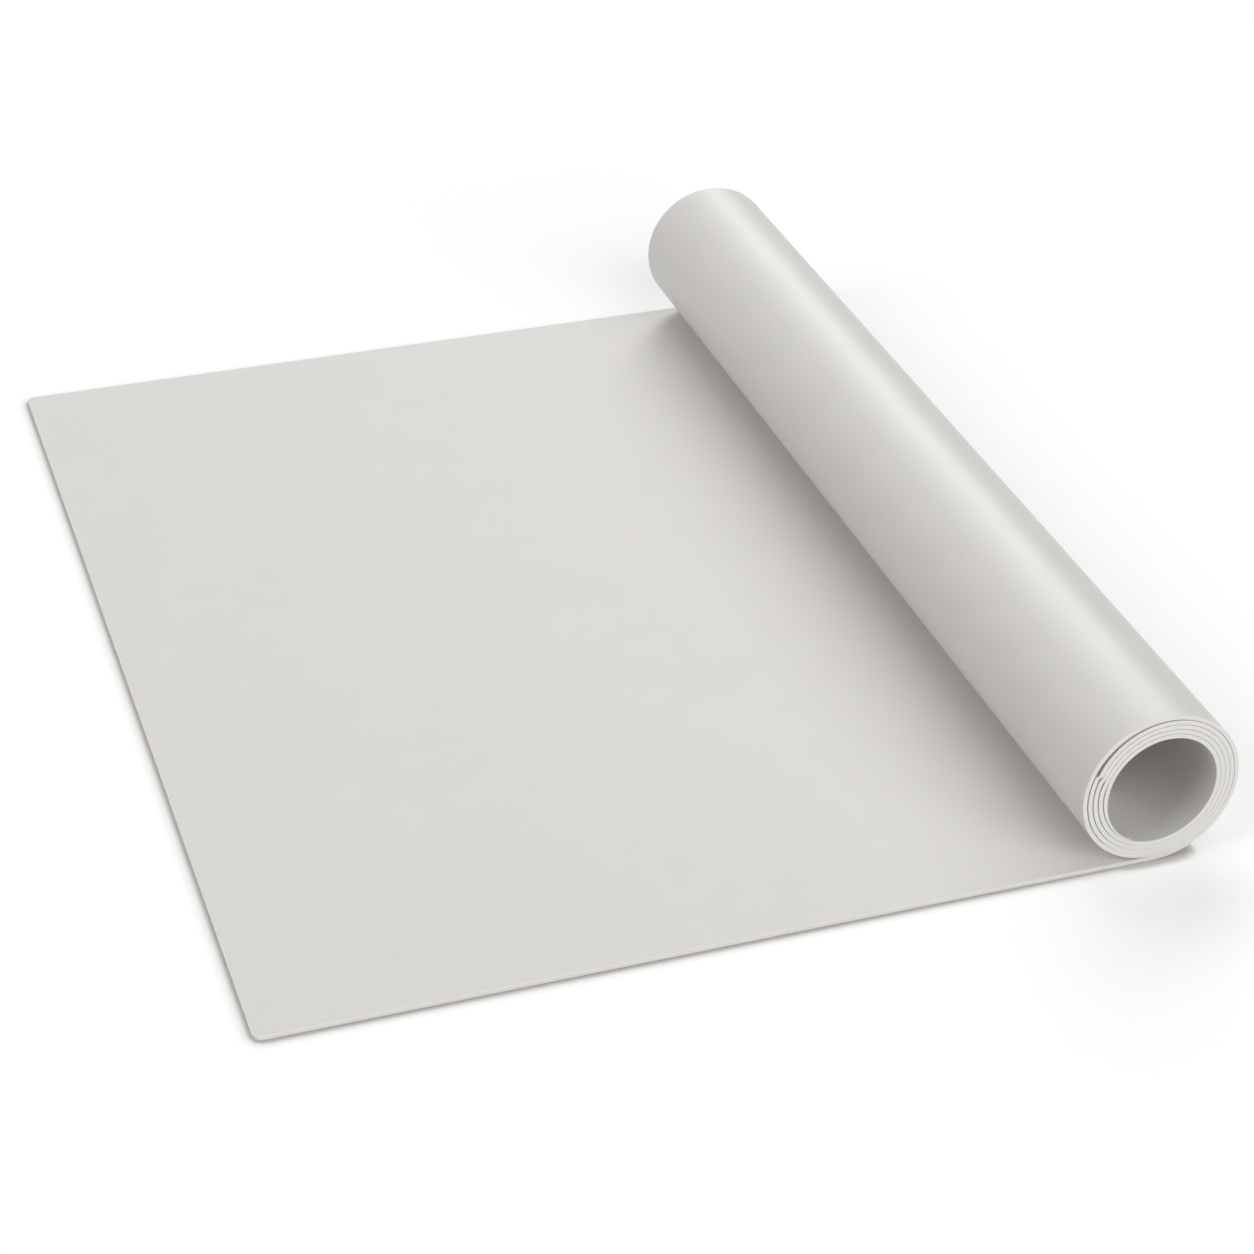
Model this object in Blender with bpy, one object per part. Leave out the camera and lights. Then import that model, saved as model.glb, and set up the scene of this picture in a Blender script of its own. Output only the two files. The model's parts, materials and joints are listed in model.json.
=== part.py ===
"""Silicone counter mat, partly rolled up along its right side.

The mat is one long sheet. Its left end lies flat, and the rest winds into a
loose roll with an open bore. The roll's axis lies along Y, the flat end
points towards -X, and the mat stands on z = 0. All lengths are in metres.
"""
import math

import bpy
from mathutils import Vector

# The sheet
SHEET_WIDTH = 0.600
SHEET_THICKNESS = 0.002
PLAN_CORNER_RADIUS = 0.0045
FLAT_LENGTH = 0.418

# The roll: half turns about two centres, so that each turn lies inside the last
ROLL_OUTER_RADIUS = 0.0395
WHOLE_TURNS = 4
END_PAST_TURNS = math.radians(300)
TURN_GAP = 0.00042

# The roll is wound loosely. Its inner turns lie off centre in the outer one, with a
# pocket between that closes at once, and the bore stays nearly round.
POCKET_DEPTH = 0.0014
POCKET_START = math.radians(150)
POCKET_PEAK = math.radians(240)
POCKET_CLOSING = math.radians(7.5)
BORE_SHIFT = 0.0015
BORE_SHIFT_ANGLE = math.radians(235)
BORE_SHIFT_REACH = math.radians(120)

# The outer half turn uncurls strip by strip when the mat is unrolled
STRIP_COUNT = 11
RUNNING_CLEARANCE = 0.0003

# Fineness of the facets
FACETS_PER_STRIP = 2
CORNER_STEPS = 6

SILICONE_COLOR = (0.730, 0.715, 0.690, 1.0)
SILICONE_ROUGHNESS = 0.45

TURN_PITCH = SHEET_THICKNESS + TURN_GAP
MID_RADIUS = ROLL_OUTER_RADIUS - SHEET_THICKNESS / 2
BEND_ANGLE = math.pi / (STRIP_COUNT + 1)
FACET_ANGLE = BEND_ANGLE / FACETS_PER_STRIP
END_ANGLE = 2 * math.pi * WHOLE_TURNS + END_PAST_TURNS
# The origin is below the middle of the whole mat's box
TANGENT_X = (FLAT_LENGTH - ROLL_OUTER_RADIUS) / 2
FREE_EDGE_X = TANGENT_X - FLAT_LENGTH


def smooth_step(value):
    """Rise smoothly from 0 to 1 as value goes from 0 to 1."""
    value = min(1.0, max(0.0, value))
    return value * value * (3 - 2 * value)


def pocket_shift(turn, angle):
    """The pocket's depth at an angle from 0 to 2 pi. The further in a turn is, the later it closes."""
    rise = min(1.0, max(0.0, (angle - POCKET_START) / (POCKET_PEAK - POCKET_START)))
    fall = smooth_step((angle - POCKET_PEAK) / (POCKET_CLOSING * turn ** 2))
    return POCKET_DEPTH * rise * (1 - fall)


def bore_shift(angle):
    """How far the innermost turn lies inside its own half circle, at an angle from 0 to 2 pi."""
    away = min(1.0, abs(angle - BORE_SHIFT_ANGLE) / BORE_SHIFT_REACH)
    return BORE_SHIFT * math.cos(away * math.pi / 2) ** 2


def inward_shift(turn, angle):
    """How far a turn lies inside its own half circle, at an angle from 0 to 2 pi."""
    if turn == 0:
        return 0.0
    depth_in_coil = min(1.0, (turn - 1) / max(1, WHOLE_TURNS - 1))
    pocket = pocket_shift(turn, angle)
    return pocket + (bore_shift(angle) - pocket) * depth_in_coil


def turn_centre_and_radius(angle):
    """Centre height and middle-surface radius of the winding at an angle from its start."""
    turn, within = divmod(angle, 2 * math.pi)
    radius = MID_RADIUS - turn * TURN_PITCH
    height = ROLL_OUTER_RADIUS
    if within > math.pi:
        radius -= TURN_PITCH / 2
        height += TURN_PITCH / 2
    return height, radius - inward_shift(turn, within)


def wound_section(angle, half_width):
    """Cross-section of the sheet where it is wound: outer and inner face, and half width."""
    height, radius = turn_centre_and_radius(angle)
    outward = Vector((math.sin(angle), 0, -math.cos(angle)))
    centre = Vector((TANGENT_X, 0, height))
    outer = centre + outward * (radius + SHEET_THICKNESS / 2)
    inner = centre + outward * (radius - SHEET_THICKNESS / 2)
    return outer, inner, half_width


def flat_section(x, half_width):
    """Cross-section of the sheet where it lies flat."""
    return Vector((x, 0, 0)), Vector((x, 0, SHEET_THICKNESS)), half_width


def corner_stations():
    """Distance from the sheet's end, and half width there, round a plan corner."""
    stations = []
    for step in range(CORNER_STEPS):
        turn = math.pi / 2 * step / CORNER_STEPS
        distance = PLAN_CORNER_RADIUS * (1 - math.cos(turn))
        inset = PLAN_CORNER_RADIUS * (1 - math.sin(turn))
        stations.append((distance, SHEET_WIDTH / 2 - inset))
    stations.append((PLAN_CORNER_RADIUS, SHEET_WIDTH / 2))
    return stations


def facet_angles(start, end):
    """Start, end and every whole facet between them."""
    first = math.floor(start / FACET_ANGLE + 1e-6) + 1
    last = math.ceil(end / FACET_ANGLE - 1e-6)
    return [start] + [step * FACET_ANGLE for step in range(first, last)] + [end]


def silicone_material(name):
    material = bpy.data.materials.new(name + "_silicone")
    material.use_nodes = True
    shader = material.node_tree.nodes["Principled BSDF"]
    shader.inputs["Base Color"].default_value = SILICONE_COLOR
    shader.inputs["Roughness"].default_value = SILICONE_ROUGHNESS
    shader.inputs["Metallic"].default_value = 0.0
    return material


def make_stretch(name, sections, origin):
    """A stretch of the sheet as one closed body, through its cross-sections in order."""
    points = []
    for outer, inner, half_width in sections:
        reach = Vector((0, half_width, 0))
        points += [outer - reach, outer + reach, inner + reach, inner - reach]
    faces = [(0, 3, 2, 1)]
    for ring in range(0, len(points) - 4, 4):
        for side in range(4):
            following = (side + 1) % 4
            faces.append((ring + side, ring + following, ring + 4 + following, ring + 4 + side))
    end = len(points) - 4
    faces.append((end, end + 1, end + 2, end + 3))
    mesh = bpy.data.meshes.new(name)
    mesh.from_pydata([point - origin for point in points], [], faces)
    mesh.validate()
    mesh.shade_smooth()
    mesh.set_sharp_from_angle(angle=math.radians(30))
    mesh.materials.append(silicone_material(name))
    piece = bpy.data.objects.new(name, mesh)
    bpy.context.scene.collection.objects.link(piece)
    piece.location = origin
    return piece


def hinge_radius():
    """Radius of the bend lines: the strips keep the sheet's length when they lie flat."""
    half_bend = BEND_ANGLE / 2
    return MID_RADIUS * half_bend / math.sin(half_bend)


def bend_line(number):
    """Where two neighbouring strips hinge: the number counts bend lines from the flat end."""
    angle = (number - 0.5) * BEND_ANGLE
    x = TANGENT_X + hinge_radius() * math.sin(angle)
    z = ROLL_OUTER_RADIUS - hinge_radius() * math.cos(angle)
    return Vector((x, 0, z))


def strip_end_inset():
    """Angle between a bend line and the strip's end, which lets the outer faces close up."""
    outer_reach = max(0.0, ROLL_OUTER_RADIUS - hinge_radius())
    closing = 2 * outer_reach * math.sin(BEND_ANGLE / 2)
    return (closing + RUNNING_CLEARANCE) / 2 / MID_RADIUS


def build_flat_sheet(end_inset):
    sections = []
    for distance, half_width in corner_stations():
        sections.append(flat_section(FREE_EDGE_X + distance, half_width))
    for angle in facet_angles(0.0, BEND_ANGLE / 2 - end_inset):
        sections.append(wound_section(angle, SHEET_WIDTH / 2))
    return make_stretch("flat_sheet", sections, Vector((0, 0, 0)))


def build_strip(number, end_inset):
    start = (number - 0.5) * BEND_ANGLE + end_inset
    end = (number + 0.5) * BEND_ANGLE - end_inset
    sections = []
    for angle in facet_angles(start, end):
        sections.append(wound_section(angle, SHEET_WIDTH / 2))
    return make_stretch(f"bend_strip_{number:02d}", sections, bend_line(number))


def build_rolled_turns(end_inset):
    start = (STRIP_COUNT + 0.5) * BEND_ANGLE + end_inset
    end_radius = turn_centre_and_radius(END_ANGLE)[1]
    corner_start = END_ANGLE - PLAN_CORNER_RADIUS / end_radius
    sections = []
    for angle in facet_angles(start, corner_start)[:-1]:
        sections.append(wound_section(angle, SHEET_WIDTH / 2))
    for distance, half_width in reversed(corner_stations()):
        sections.append(wound_section(END_ANGLE - distance / end_radius, half_width))
    return make_stretch("rolled_turns", sections, bend_line(STRIP_COUNT + 1))


def least_turn_gap():
    """Least distance between one turn's inner face and the next turn's outer face."""
    steps = math.floor((END_ANGLE - 2 * math.pi) / FACET_ANGLE)
    outer_faces = []
    for step in range(steps + 1):
        outer_faces.append(wound_section(2 * math.pi + step * FACET_ANGLE, 0)[0])
    least = ROLL_OUTER_RADIUS
    for step in range(steps + 1):
        inner = wound_section(step * FACET_ANGLE, 0)[1]
        for near in range(max(0, step - FACETS_PER_STRIP), min(steps, step + FACETS_PER_STRIP)):
            start, end = outer_faces[near], outer_faces[near + 1]
            along = end - start
            share = min(1.0, max(0.0, (inner - start).dot(along) / along.length_squared))
            least = min(least, (inner - start - along * share).length)
    return least


def hang_on(parent, child):
    """Make the child turn with its parent, leaving it where it is."""
    child.location -= parent.matrix_world.translation
    child.parent = parent
    bpy.context.view_layer.update()


def main():
    for old in list(bpy.data.objects):
        bpy.data.objects.remove(old)
    end_inset = strip_end_inset()
    chain = [build_flat_sheet(end_inset)]
    for number in range(1, STRIP_COUNT + 1):
        chain.append(build_strip(number, end_inset))
    chain.append(build_rolled_turns(end_inset))
    bpy.context.view_layer.update()
    for parent, child in zip(chain, chain[1:]):
        hang_on(parent, child)
    print(f"least gap between turns: {least_turn_gap() * 1000:.3f} mm")


main()
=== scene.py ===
"""Looks of the silicone counter mat: one sheet of pale silicone, partly rolled up.

The flat end and the roll ride on their bodies. A piece is built across each bend line, where the sheet turns
from the one to the other.
"""
import json
import math

import bpy
import numpy as np
from mathutils import Matrix, Vector

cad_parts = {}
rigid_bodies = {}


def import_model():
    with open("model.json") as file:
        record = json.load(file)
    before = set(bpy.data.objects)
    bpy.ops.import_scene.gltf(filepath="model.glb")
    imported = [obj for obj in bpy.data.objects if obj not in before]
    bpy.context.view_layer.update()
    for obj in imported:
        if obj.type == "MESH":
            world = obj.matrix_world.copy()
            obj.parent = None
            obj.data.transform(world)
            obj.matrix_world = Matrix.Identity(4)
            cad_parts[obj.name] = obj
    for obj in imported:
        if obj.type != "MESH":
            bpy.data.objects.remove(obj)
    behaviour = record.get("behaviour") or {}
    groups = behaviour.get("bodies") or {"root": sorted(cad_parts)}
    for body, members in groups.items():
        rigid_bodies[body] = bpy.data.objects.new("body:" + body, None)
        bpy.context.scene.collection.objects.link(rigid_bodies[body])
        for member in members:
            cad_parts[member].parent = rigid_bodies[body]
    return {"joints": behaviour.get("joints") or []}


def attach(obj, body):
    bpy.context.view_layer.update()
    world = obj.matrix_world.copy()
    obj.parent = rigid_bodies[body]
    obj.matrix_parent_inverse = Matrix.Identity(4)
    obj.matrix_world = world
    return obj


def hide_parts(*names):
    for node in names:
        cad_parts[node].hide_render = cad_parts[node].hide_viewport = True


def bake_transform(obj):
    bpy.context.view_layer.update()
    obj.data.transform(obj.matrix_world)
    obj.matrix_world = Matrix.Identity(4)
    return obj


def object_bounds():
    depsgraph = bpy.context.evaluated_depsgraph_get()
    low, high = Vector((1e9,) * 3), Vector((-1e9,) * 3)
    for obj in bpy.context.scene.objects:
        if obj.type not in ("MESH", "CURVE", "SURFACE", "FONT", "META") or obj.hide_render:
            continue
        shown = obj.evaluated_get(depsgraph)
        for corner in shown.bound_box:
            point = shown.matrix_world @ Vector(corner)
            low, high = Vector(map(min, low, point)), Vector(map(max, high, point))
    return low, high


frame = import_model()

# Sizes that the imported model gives, in metres. The winding starts at TANGENT_X
CAD_LOW, CAD_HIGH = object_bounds()
HALF_WIDTH = CAD_HIGH.y
ROLL_RADIUS = (CAD_HIGH.z - CAD_LOW.z) / 2
TANGENT_X = CAD_HIGH.x - ROLL_RADIUS
FLAT_LENGTH = TANGENT_X - CAD_LOW.x
BODIES = [joint["parent"] for joint in frame["joints"]] + [frame["joints"][-1]["child"]]
BEND_COUNT = len(frame["joints"])
BEND_ANGLE = math.pi / BEND_COUNT

# The sheet. Its lower face lies where the model has it
SHEET_THICKNESS = 0.0022
PLAN_CORNER_RADIUS = 0.0045

# The rounded edges: how far each rounding reaches in from the edge, and in from its face
UPPER_ROUNDING = (0.00035, 0.00035)
LOWER_ROUNDING = (0.0004, 0.00025)

# The roll: its turns nearly touch, and the outermost one has room to straighten
WHOLE_TURNS = 4
END_ANGLE = 2 * math.pi * WHOLE_TURNS + math.radians(340)
OUTER_GAP = 0.00013
INNER_GAP = 0.00005

# The inner end thins out, so that the bore's wall has no step
THINNING_ANGLE = math.radians(80)
END_SHARE = 0.2

# The pocket under the outer turn, which closes at once but for a fine gap
POCKET_DEPTH = 0.00165
POCKET_START = math.radians(150)
POCKET_PEAK = math.radians(247.5)
POCKET_CLOSING = math.radians(2.5)
POCKET_CLOSING_GROWTH = 1.8
POCKET_REST = 0.0004
REST_END = math.radians(345)

# The innermost turn is nearly round, but off centre
BORE_SHIFT = 0.00175
BORE_SHIFT_ANGLE = math.radians(235)
BORE_SHIFT_REACH = math.radians(120)

# Fineness of the meshes
ANGLE_STEP = math.radians(2.5)
POCKET_STEP = math.radians(0.5)
DIRECTION_STEP = math.radians(0.05)
FLAT_ROWS = 14
COLUMNS = 12
CORNER_STEPS = 8
EDGE_STEPS = 5

# Silicone: pale warm grey, satin on its lower face and matt on its upper one. The lower face, which is the
# roll's outside, is a little darker as painted shade on the roll
UPPER_COLOUR = (0.676, 0.659, 0.630)
LOWER_COLOUR_WITH_PAINTED_SHADE = (0.656, 0.638, 0.608)
EDGE_COLOUR = (0.720, 0.704, 0.677)
LOWER_ROUGHNESS = 0.38
UPPER_ROUGHNESS = 0.55
EDGE_ROUGHNESS = 0.50
SILICONE_IOR = 1.41
MOTTLING = 0.008
MOTTLING_SCALE = 18.0
GLOSS_CHANGE = 0.025
GLOSS_SCALE = 60.0
WAVE_DEPTH = 0.00015
WAVE_SCALE = 14.0
GRAIN_SCALE = 1100.0
LOWER_GRAIN_DEPTH = 0.000012
UPPER_GRAIN_DEPTH = 0.000022
EDGE_GRAIN_DEPTH = 0.00002
EVEN_GRAIN = (1, 1, 1)
EDGE_GRAIN = (0.3, 1, 0.3)
NOISE_LOW = 0.25
NOISE_HIGH = 0.75

# The studio's lamps: azimuth from +Y towards +X, elevation, strength and spread of each
LAMPS = {
    "front": (167, 26, 2.18, 55),
    "left": (-97, 36, 1.07, 30),
    "right": (135, 62, 0.16, 30),
    "back": (0, 50, 0.76, 30),
    "back_right": (27, 33, 0.78, 26),
    "back_left": (-40, 34, 0.28, 30),
}

# The floor. To the eye, a glow takes the place of a part of the light that it sends back
FLOOR_REACH = 20.0
FLOOR_GAP = 0.0002
FLOOR_COLOUR = (0.80, 0.80, 0.80)
FLOOR_SEEN_SHARE = 0.755
FLOOR_GLOW = 0.45
# Painted contact shade: an occlusion mask darkens the floor's colour and glow towards this tone within a few
# millimetres of what stands on it
PAINTED_CONTACT_SHADE_TONE = (0.41, 0.385, 0.35)
PAINTED_SHADE_REACH = 0.007
PAINTED_SHADE_STRENGTH = 5.0
PAINTED_SHADE_SAMPLES = 4

# The photograph's camera
IMAGE_SIZE = 1254
SENSOR_WIDTH = 36.0
FOCAL_PIXELS = 2995
CAMERA_PLACE = Vector((-0.3972, -1.2657, 0.8178))
CAMERA_YAW = math.radians(18.95)
CAMERA_PITCH = math.radians(32.20)
CAMERA_ROLL = math.radians(0.72)
NEAREST_SEEN = 0.05
FARTHEST_SEEN = 50


def smooth_step(value):
    """Rise smoothly from 0 to 1 as value goes from 0 to 1."""
    value = min(1.0, max(0.0, value))
    return value * value * (3 - 2 * value)


def pocket_shift(turn, angle):
    """The pocket's depth at an angle from 0 to 2 pi. The further in a turn is, the later it closes."""
    rise = min(1.0, max(0.0, (angle - POCKET_START) / (POCKET_PEAK - POCKET_START)))
    fall = smooth_step((angle - POCKET_PEAK) / (POCKET_CLOSING * turn ** POCKET_CLOSING_GROWTH))
    rest = POCKET_REST * (1 - smooth_step((angle - POCKET_PEAK) / (REST_END - POCKET_PEAK)))
    return POCKET_DEPTH * rise * (1 - fall) + rest * fall


def bore_shift(angle):
    """How far the innermost turn lies inside its own half circle, at an angle from 0 to 2 pi."""
    away = min(1.0, abs(angle - BORE_SHIFT_ANGLE) / BORE_SHIFT_REACH)
    return BORE_SHIFT * math.cos(away * math.pi / 2) ** 2


def inward_shift(turn, angle):
    """How far a turn lies inside its own half circle, at an angle from 0 to 2 pi."""
    if turn == 0:
        return 0.0
    depth_in_coil = min(1.0, (turn - 1) / (WHOLE_TURNS - 1))
    pocket = pocket_shift(turn, angle)
    return pocket + (bore_shift(angle) - pocket) * depth_in_coil


def thickness_share(angle):
    """Share of the sheet's thickness that is left at an angle of the winding."""
    return 1 - (1 - END_SHARE) * smooth_step(1 - (END_ANGLE - angle) / THINNING_ANGLE)


def turn_depth(turn):
    """How far inside the roll's outside a turn starts."""
    inner_gaps = max(0, turn - 1) * INNER_GAP
    return turn * SHEET_THICKNESS + inner_gaps + (OUTER_GAP if turn > 0 else 0)


def wound_point(angle, depth):
    """Point (x, z) of the winding, at a depth from its lower face, which is outside."""
    turn, within = divmod(angle, 2 * math.pi)
    depth *= thickness_share(angle)
    radius = ROLL_RADIUS - turn_depth(turn) - depth - inward_shift(turn, within)
    height = ROLL_RADIUS
    if within > math.pi:
        half_pitch = (turn_depth(turn + 1) - turn_depth(turn)) / 2
        radius -= half_pitch
        height += half_pitch
    return np.array([TANGENT_X + radius * math.sin(angle), height - radius * math.cos(angle)])


def sheet_point(way, depth):
    """Point (x, z) of the sheet. The way is negative metres where it's flat, an angle where it's wound."""
    if way < 0:
        return np.array([TANGENT_X + way, depth])
    return wound_point(way, depth)


def sheet_along(way, depth):
    """Direction (x, z) in which the sheet runs."""
    if way <= 0:
        return np.array([1.0, 0.0])
    run = wound_point(way + DIRECTION_STEP, depth) - wound_point(way - DIRECTION_STEP, depth)
    return run / np.linalg.norm(run)


def edge_profile():
    """Rounded long edge from the upper to the lower face: inset, depth, and the normal's tilt."""
    points = []
    for start, (reach, rise) in ((0.0, UPPER_ROUNDING), (math.pi / 2, LOWER_ROUNDING)):
        for step in range(EDGE_STEPS + 1):
            turn = start + math.pi / 2 * step / EDGE_STEPS
            inset = reach * (1 - math.sin(turn))
            from_face = rise * (1 - abs(math.cos(turn)))
            depth = from_face if start else SHEET_THICKNESS - from_face
            tilt = math.atan2(math.sin(turn) / reach, math.cos(turn) / rise)
            points.append((inset, depth, tilt))
    return points


PROFILE = edge_profile()


class SheetMesh:
    """Collects the rows, faces and normals of one stretch of the sheet.

    A row is a closed ring round the sheet: down the +Y edge's profile, across the lower face,
    up the -Y edge's profile, and back across the upper face.
    """

    def __init__(self):
        self.points = []
        self.normals = []
        self.faces = []
        self.face_normals = []
        self.face_kinds = []

    def add_point(self, way, y, depth, up_share, side_share, end_share):
        """A point, with its normal's shares along the face's normal, along Y and along the sheet."""
        x, z = sheet_point(way, depth)
        along_x, along_z = sheet_along(way, depth)
        normal = up_share * np.array([-along_z, 0, along_x]) + end_share * np.array([along_x, 0, along_z])
        normal[1] += side_share
        self.points.append((x, y, z))
        self.normals.append(normal / np.linalg.norm(normal))
        return len(self.points) - 1

    def add_face(self, corners, kind, flat_normal=None):
        self.faces.append(corners)
        self.face_normals.append(flat_normal)
        self.face_kinds.append(kind)

    def add_edge(self, ring, place, y_sign, swing, end_sign, profile):
        """One long edge's points. Round a plan corner, the edge looks a swing away from its own side."""
        for inset, depth, tilt in profile:
            way, half = place(inset)
            side_share = y_sign * math.cos(swing) * math.sin(tilt)
            end_share = end_sign * math.sin(swing) * math.sin(tilt)
            ring.append(self.add_point(way, y_sign * half, depth, math.cos(tilt), side_share, end_share))

    def add_row(self, place, swing=0.0, end_sign=0):
        """One closed ring round the sheet. place(inset) gives the way and the half width there."""
        ring = []
        self.add_edge(ring, place, 1, swing, end_sign, PROFILE)
        way, half = place(LOWER_ROUNDING[0])
        for column in range(1, COLUMNS):
            y = half * (1 - 2 * column / COLUMNS)
            ring.append(self.add_point(way, y, 0.0, -1, 0, 0))
        self.add_edge(ring, place, -1, swing, end_sign, PROFILE[::-1])
        way, half = place(UPPER_ROUNDING[0])
        for column in range(1, COLUMNS):
            y = half * (2 * column / COLUMNS - 1)
            ring.append(self.add_point(way, y, SHEET_THICKNESS, 1, 0, 0))
        return ring

    def join(self, ring, following):
        """The faces between two neighbouring rings."""
        count = len(ring)
        for spot in range(count):
            after = (spot + 1) % count
            self.add_face((ring[spot], following[spot], following[after], ring[after]), face_kind(spot))

    def join_all(self, rings):
        for ring, following in zip(rings, rings[1:]):
            self.join(ring, following)

    def close_seam(self, ring, end_sign, way):
        """A flat cap where the next stretch of the sheet goes on."""
        along = sheet_along(way, 0) * end_sign
        corners = ring if end_sign < 0 else ring[::-1]
        self.add_face(tuple(corners), "edge", (along[0], 0, along[1]))

    def close_edge(self, ring, end_sign, place):
        """The sheet's free end between its plan corners, with the same rounding as the long edges."""
        lines = [self.edge_line(ring, end_sign, place, number) for number in range(len(PROFILE))]
        for upper, lower in zip(lines, lines[1:]):
            for column in range(COLUMNS):
                corners = (upper[column], upper[column + 1], lower[column + 1], lower[column])
                self.add_face(corners if end_sign > 0 else corners[::-1], "edge")

    def edge_line(self, ring, end_sign, place, number):
        """One line of the free end's rounding, from the ring's +Y side to its -Y side."""
        count = len(PROFILE)
        inset, depth, tilt = PROFILE[number]
        way, half = place(inset)
        line = [ring[number]]
        for column in range(1, COLUMNS):
            if number == 0:
                line.append(ring[-column])
            elif number == count - 1:
                line.append(ring[count - 1 + column])
            else:
                y = half * (1 - 2 * column / COLUMNS)
                line.append(self.add_point(way, y, depth, math.cos(tilt), 0, end_sign * math.sin(tilt)))
        line.append(ring[2 * count + COLUMNS - 2 - number])
        return line

    def finish(self, name, materials):
        mesh = bpy.data.meshes.new(name)
        mesh.from_pydata(self.points, [], self.faces)
        kinds = list(materials)
        for kind in kinds:
            mesh.materials.append(materials[kind])
        mesh.polygons.foreach_set("material_index", [kinds.index(kind) for kind in self.face_kinds])
        mesh.shade_smooth()
        loops = []
        for face, flat_normal in zip(self.faces, self.face_normals):
            for corner in face:
                loops.append(tuple(self.normals[corner]) if flat_normal is None else flat_normal)
        mesh.normals_split_custom_set(loops)
        mesh.update()
        piece = bpy.data.objects.new(name, mesh)
        bpy.context.scene.collection.objects.link(piece)
        return piece


def face_kind(spot):
    """Which side of the sheet a strip of faces belongs to, by its place in the ring."""
    side = len(PROFILE) - 1
    if spot < side or side + COLUMNS <= spot < 2 * side + COLUMNS:
        return "edge"
    return "lower" if spot < side + COLUMNS else "upper"


def straight_place(way):
    """Place along a straight stretch of the long edges."""
    return lambda inset: (way, HALF_WIDTH - inset)


def corner_place(swing, way_at):
    """Place round a plan corner. way_at turns a distance from the free end into a way."""
    def place(inset):
        reach = PLAN_CORNER_RADIUS - inset
        distance = PLAN_CORNER_RADIUS - reach * math.sin(swing)
        return way_at(distance), HALF_WIDTH - PLAN_CORNER_RADIUS + reach * math.cos(swing)
    return place


def flat_way(distance):
    """Way at a distance from the flat end's free edge."""
    return distance - FLAT_LENGTH


def wound_end_way(distance):
    """Way at a distance from the sheet's inner end, which lies in the second half of its turn."""
    end_radius = ROLL_RADIUS - turn_depth(WHOLE_TURNS + 0.5) - SHEET_THICKNESS / 2
    return END_ANGLE - distance / end_radius


def build_flat(materials):
    sheet = SheetMesh()
    swings = [math.pi / 2 * (1 - step / CORNER_STEPS) for step in range(CORNER_STEPS)]
    rings = [sheet.add_row(corner_place(swing, flat_way), swing, -1) for swing in swings]
    sheet.close_edge(rings[0], -1, corner_place(swings[0], flat_way))
    first = flat_way(PLAN_CORNER_RADIUS)
    for row in range(FLAT_ROWS + 1):
        rings.append(sheet.add_row(straight_place(first * (1 - row / FLAT_ROWS))))
    sheet.join_all(rings)
    sheet.close_seam(rings[-1], 1, 0.0)
    return sheet.finish("mat_flat", materials)


def build_bend(number, materials):
    sheet = SheetMesh()
    start, end = (number - 1) * BEND_ANGLE, number * BEND_ANGLE
    steps = round(BEND_ANGLE / ANGLE_STEP)
    rings = []
    for step in range(steps + 1):
        rings.append(sheet.add_row(straight_place(start + (end - start) * step / steps)))
    sheet.join_all(rings)
    sheet.close_seam(rings[0], -1, start)
    sheet.close_seam(rings[-1], 1, end)
    return sheet.finish(f"mat_bend_{number:02d}", materials)


def roll_angles(start, end):
    """Angles of the roll's rows, finer where the pocket closes."""
    angles = [start]
    while angles[-1] < end - ANGLE_STEP:
        within = angles[-1] % (2 * math.pi)
        closing = POCKET_PEAK - ANGLE_STEP < within < POCKET_PEAK + POCKET_CLOSING
        angles.append(angles[-1] + (POCKET_STEP if closing else ANGLE_STEP))
    return angles + [end]


def build_roll(materials):
    sheet = SheetMesh()
    rings = []
    for angle in roll_angles(math.pi, wound_end_way(PLAN_CORNER_RADIUS)):
        rings.append(sheet.add_row(straight_place(angle)))
    sheet.close_seam(rings[0], -1, math.pi)
    swings = [math.pi / 2 * (step + 1) / CORNER_STEPS for step in range(CORNER_STEPS)]
    for swing in swings:
        rings.append(sheet.add_row(corner_place(swing, wound_end_way), swing, 1))
    sheet.close_edge(rings[-1], 1, corner_place(swings[-1], wound_end_way))
    sheet.join_all(rings)
    return sheet.finish("mat_roll", materials)


def bend_end(number):
    """Where the upper face crosses from one bend to the next."""
    x, z = wound_point(number * BEND_ANGLE, SHEET_THICKNESS)
    return (x, 0, z)


def build_mat(materials):
    flat = build_flat(materials)
    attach(flat, BODIES[0])
    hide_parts("flat_sheet")
    for number in range(1, BEND_COUNT + 1):
        bend = build_bend(number, materials)
        start, end = bend_end(number - 1), bend_end(number)
        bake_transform(bend)
        if number < BEND_COUNT:
            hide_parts(f"bend_strip_{number:02d}")
    roll = build_roll(materials)
    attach(roll, BODIES[-1])
    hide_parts("rolled_turns")


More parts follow.
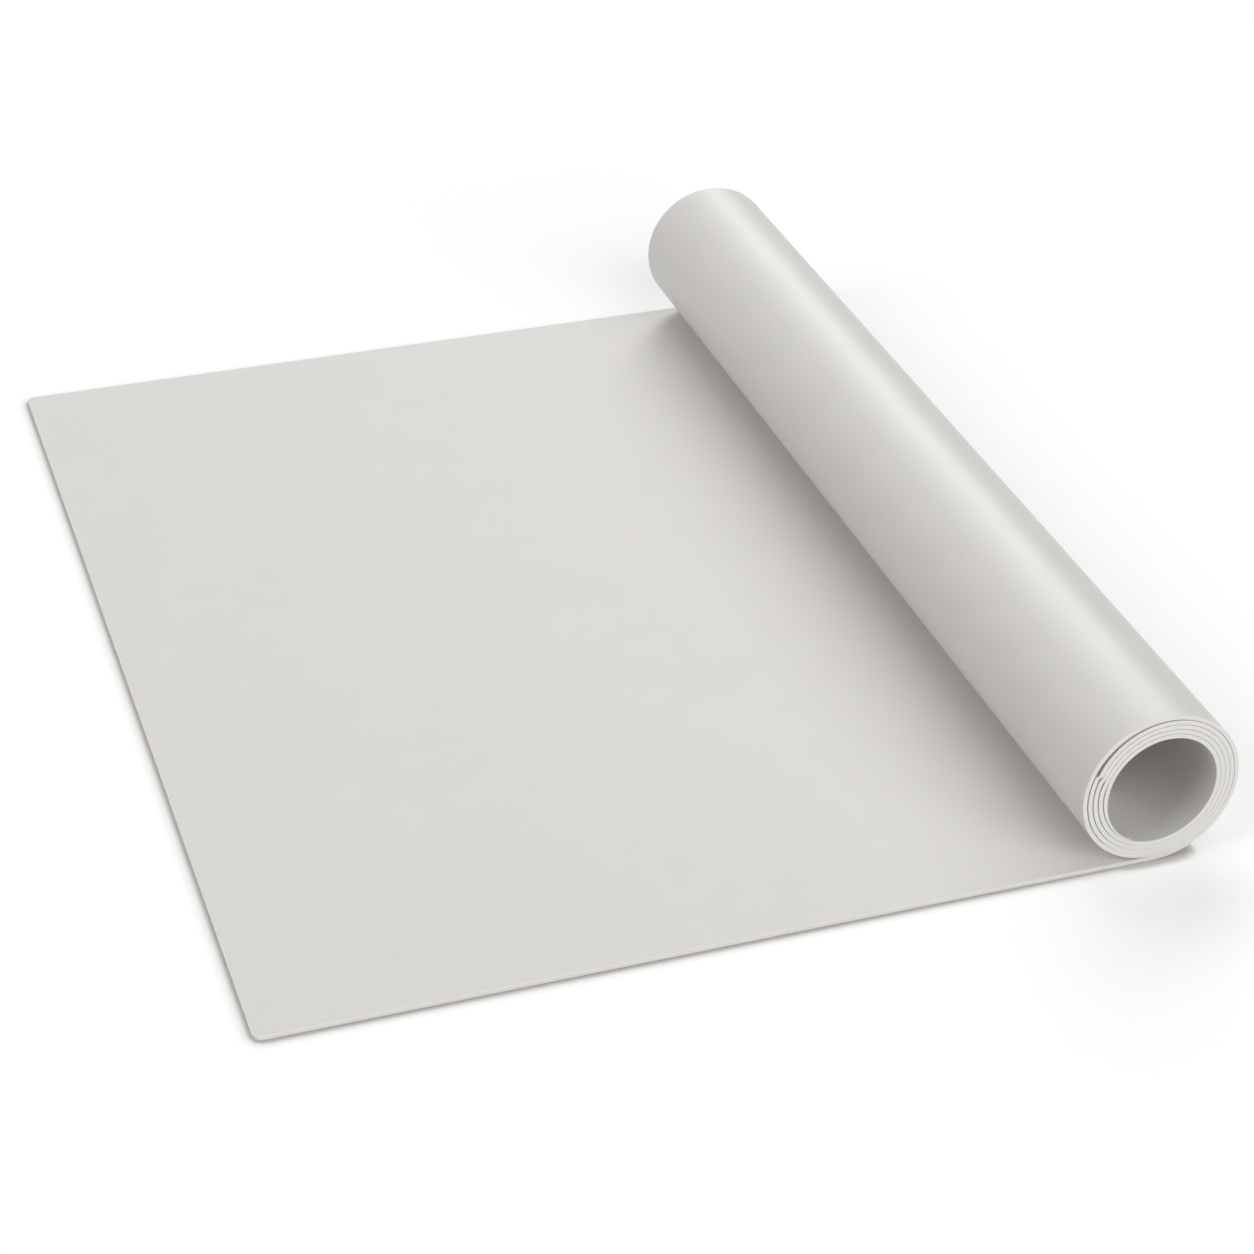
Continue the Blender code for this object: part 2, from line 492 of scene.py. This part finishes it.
class Nodes:
    """The node tree of a material or the world, with short calls for what they share."""

    def __init__(self, holder):
        holder.use_nodes = True
        self.tree = holder.node_tree

    def node(self, kind, **inputs):
        """A new node. Each input's name has an underscore for a space."""
        made = self.tree.nodes.new(kind)
        for name, value in inputs.items():
            self.feed(made.inputs[name.replace("_", " ")], value)
        return made

    def feed(self, socket, value):
        """Link a socket to another one, or set its value."""
        if isinstance(value, bpy.types.NodeSocket):
            self.tree.links.new(value, socket)
        else:
            socket.default_value = value

    def calculated(self, operation, first, second):
        """The result of a math operation on two values."""
        made = self.tree.nodes.new("ShaderNodeMath")
        made.operation = operation
        self.feed(made.inputs[0], first)
        self.feed(made.inputs[1], second)
        return made.outputs["Value"]

    def mixed(self, share, first, second):
        """A colour between two, which is the second where the share is 1."""
        made = self.tree.nodes.new("ShaderNodeMix")
        made.data_type = "VECTOR"
        inputs = {socket.identifier: socket for socket in made.inputs}
        outputs = {socket.identifier: socket for socket in made.outputs}
        self.feed(inputs["Factor_Float"], share)
        self.feed(inputs["A_Vector"], first)
        self.feed(inputs["B_Vector"], second)
        return outputs["Result_Vector"]

    def scaled(self, colour, factor):
        """A colour times a factor."""
        made = self.tree.nodes.new("ShaderNodeVectorMath")
        made.operation = "SCALE"
        self.feed(made.inputs["Vector"], colour)
        self.feed(made.inputs["Scale"], factor)
        return made.outputs["Vector"]

    def noise(self, place, scale, detail, roughness=0.5):
        """Noise of about 0.2 to 0.8, in features of 1 / scale metres."""
        made = self.node("ShaderNodeTexNoise", Vector=place, Scale=scale, Detail=detail, Roughness=roughness)
        return made.outputs["Fac"]

    def spread(self, value, low, high):
        """Noise spread out between two values."""
        made = self.node("ShaderNodeMapRange", Value=value, From_Min=NOISE_LOW, From_Max=NOISE_HIGH,
                         To_Min=low, To_Max=high)
        return made.outputs["Result"]

    def bump(self, height, depth, below=None):
        """Bumps of a depth in metres for heights of 0 to 1, over those below."""
        made = self.node("ShaderNodeBump", Height=height, Distance=depth, Strength=1.0)
        if below is not None:
            self.feed(made.inputs["Normal"], below)
        return made.outputs["Normal"]


def silicone(name, colour, roughness, grain_depth, grain_stretch=EVEN_GRAIN):
    """Moulded silicone: a fine even grain, slow waves, and a slight mottling of tone and gloss."""
    material = bpy.data.materials.new(name)
    nodes = Nodes(material)
    shader = nodes.tree.nodes["Principled BSDF"].inputs
    place = nodes.node("ShaderNodeTexCoord").outputs["Object"]
    mottling_noise = nodes.noise(place, MOTTLING_SCALE, detail=3.0)
    mottling = nodes.spread(mottling_noise, 1 - MOTTLING, 1 + MOTTLING)
    gloss_noise = nodes.noise(place, GLOSS_SCALE, detail=4.0, roughness=0.6)
    gloss = nodes.spread(gloss_noise, roughness - GLOSS_CHANGE, roughness + GLOSS_CHANGE)
    waves = nodes.bump(nodes.noise(place, WAVE_SCALE, detail=1.0), WAVE_DEPTH)
    grain_place = nodes.node("ShaderNodeMapping", Vector=place, Scale=grain_stretch).outputs["Vector"]
    grain = nodes.noise(grain_place, GRAIN_SCALE, detail=2.0, roughness=0.6)
    nodes.feed(shader["Base Color"], nodes.scaled(colour, mottling))
    nodes.feed(shader["Roughness"], gloss)
    nodes.feed(shader["Normal"], nodes.bump(grain, grain_depth, waves))
    shader["IOR"].default_value = SILICONE_IOR
    return material


def seen_share(nodes):
    """1 for rays from the camera and for mirrored and refracted ones, 0 for rays that carry light."""
    path = nodes.node("ShaderNodeLightPath").outputs
    mirrored = nodes.calculated("MAXIMUM", path["Is Glossy Ray"], path["Is Transmission Ray"])
    return nodes.calculated("MAXIMUM", path["Is Camera Ray"], mirrored)


def floor_material():
    """White, with lightened shadows, and a painted contact shade that darkens it within a few millimetres of
    what stands on it.
    """
    material = bpy.data.materials.new("floor_white")
    nodes = Nodes(material)
    shader = nodes.tree.nodes["Principled BSDF"].inputs
    # Painted shade: the floor's colour and glow turn towards the contact tone where little is open around
    # them
    occlusion = nodes.node("ShaderNodeAmbientOcclusion", Distance=PAINTED_SHADE_REACH)
    occlusion.samples = PAINTED_SHADE_SAMPLES
    painted_shade_openness = nodes.calculated("POWER", occlusion.outputs["AO"], PAINTED_SHADE_STRENGTH)
    painted_shade_colour = [tone * white for tone, white in zip(PAINTED_CONTACT_SHADE_TONE, FLOOR_COLOUR)]
    seen = seen_share(nodes)
    hidden_part = nodes.calculated("MULTIPLY", seen, 1 - FLOOR_SEEN_SHARE)
    kept_part = nodes.calculated("SUBTRACT", 1.0, hidden_part)
    colour = nodes.mixed(painted_shade_openness, painted_shade_colour, FLOOR_COLOUR)
    nodes.feed(shader["Base Color"], nodes.scaled(colour, kept_part))
    nodes.feed(shader["Emission Color"], nodes.mixed(painted_shade_openness, PAINTED_CONTACT_SHADE_TONE, (1, 1, 1)))
    nodes.feed(shader["Emission Strength"], nodes.calculated("MULTIPLY", seen, FLOOR_GLOW))
    shader["Roughness"].default_value = 1.0
    shader["Specular IOR Level"].default_value = 0.0
    return material


def build_floor():
    signs = ((-1, -1), (1, -1), (1, 1), (-1, 1))
    corners = [(x * FLOOR_REACH, y * FLOOR_REACH, -FLOOR_GAP) for x, y in signs]
    mesh = bpy.data.meshes.new("floor")
    mesh.from_pydata(corners, [], [(0, 1, 2, 3)])
    mesh.materials.append(floor_material())
    floor = bpy.data.objects.new("floor", mesh)
    bpy.context.scene.collection.objects.link(floor)


def build_world():
    """A white surrounding to look at. The lamps give the light."""
    world = bpy.data.worlds.new("studio")
    bpy.context.scene.world = world
    nodes = Nodes(world)
    background = nodes.tree.nodes["Background"].inputs
    background["Color"].default_value = (1, 1, 1, 1)
    nodes.feed(background["Strength"], seen_share(nodes))


def build_lamps():
    """Far lamps, each as wide as its spread, so that shadows are soft."""
    for name, (azimuth, elevation, strength, spread) in LAMPS.items():
        data = bpy.data.lights.new(name, "SUN")
        data.energy = strength
        data.angle = math.radians(spread)
        lamp = bpy.data.objects.new(name, data)
        bpy.context.scene.collection.objects.link(lamp)
        across, up = math.radians(azimuth), math.radians(elevation)
        level = math.cos(up)
        towards = Vector((math.sin(across) * level, math.cos(across) * level, math.sin(up)))
        lamp.rotation_mode = "QUATERNION"
        lamp.rotation_quaternion = towards.to_track_quat("Z", "Y")


def build_camera():
    """The photograph's camera: its yaw runs from +Y towards +X, and its pitch is downwards."""
    level = math.cos(CAMERA_PITCH)
    forward = Vector((level * math.sin(CAMERA_YAW), level * math.cos(CAMERA_YAW), -math.sin(CAMERA_PITCH)))
    level_right = Vector((math.cos(CAMERA_YAW), -math.sin(CAMERA_YAW), 0))
    level_up = level_right.cross(forward)
    right = level_right * math.cos(CAMERA_ROLL) + level_up * math.sin(CAMERA_ROLL)
    up = right.cross(forward)
    data = bpy.data.cameras.new("photo_camera")
    data.sensor_width = SENSOR_WIDTH
    data.lens = SENSOR_WIDTH * FOCAL_PIXELS / IMAGE_SIZE
    data.clip_start = NEAREST_SEEN
    data.clip_end = FARTHEST_SEEN
    camera = bpy.data.objects.new("photo_camera", data)
    bpy.context.scene.collection.objects.link(camera)
    turn = Matrix((right, up, -forward)).transposed()
    camera.matrix_world = Matrix.Translation(CAMERA_PLACE) @ turn.to_4x4()
    bpy.context.scene.camera = camera


def main():
    materials = {
        "upper": silicone("silicone_upper", UPPER_COLOUR, UPPER_ROUGHNESS, UPPER_GRAIN_DEPTH),
        # The lower face's colour is darker than the upper one's as painted shade on the roll
        "lower": silicone("silicone_lower", LOWER_COLOUR_WITH_PAINTED_SHADE, LOWER_ROUGHNESS, LOWER_GRAIN_DEPTH),
        "edge": silicone("silicone_edge", EDGE_COLOUR, EDGE_ROUGHNESS, EDGE_GRAIN_DEPTH, EDGE_GRAIN),
    }
    build_mat(materials)
    build_floor()
    build_world()
    build_lamps()
    build_camera()
    bpy.context.scene.view_settings.view_transform = "Standard"


main()
